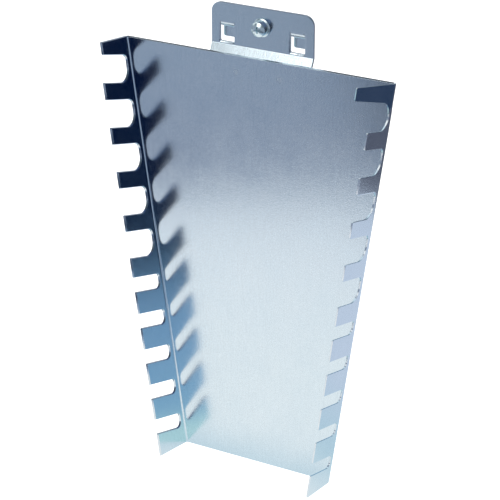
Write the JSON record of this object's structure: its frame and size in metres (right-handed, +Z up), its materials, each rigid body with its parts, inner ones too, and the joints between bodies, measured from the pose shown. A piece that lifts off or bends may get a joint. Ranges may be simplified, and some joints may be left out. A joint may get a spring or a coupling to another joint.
{
  "type": "wrench rack",
  "caption": "Hanging spanner rack of bent zinc-plated sheet: tapering back plate, two notched side flanges and a stepped hook plate with a locking screw, for a square-hole tool panel.",
  "frame": {"origin": "on the back face of the hook plate, midway between the two hooks", "axes": "+X to the right seen from the front, +Y into the panel, +Z up; the notches open towards -Y"},
  "size_m": [0.1467, 0.0338, 0.2406],
  "materials": {
    "rack_zinc": "zinc-plated sheet steel, satin with a soft mirror",
    "hook_zinc": "zinc-plated sheet steel, satin",
    "screw_zinc": "bright zinc-plated screw",
    "washer_zinc": "bright zinc-plated washer",
    "weld_steel": "heat-dulled weld metal"
  },
  "bodies": {
    "rack": {"rack_channel": "rack_zinc", "hook_plate": "hook_zinc", "spot_weld_left": "weld_steel", "spot_weld_right": "weld_steel"},
    "washer": {"lock_washer": "washer_zinc"},
    "screw": {"lock_screw": "screw_zinc"}
  },
  "joints": [
    {"name": "screw_travel", "type": "slide", "parent": "rack", "child": "washer", "axis": [0, -1, 0], "range_m": [0, 0.0028]},
    {"name": "screw_turn", "type": "hinge", "parent": "washer", "child": "screw", "pos_m": [0, -0.0015, 0.00505], "axis": [0, -1, 0], "range_deg": [0, 1440]}
  ],
  "couplings": [
    {"joint": "screw_turn", "follows": "screw_travel", "rad_per_m": 8975}
  ]
}
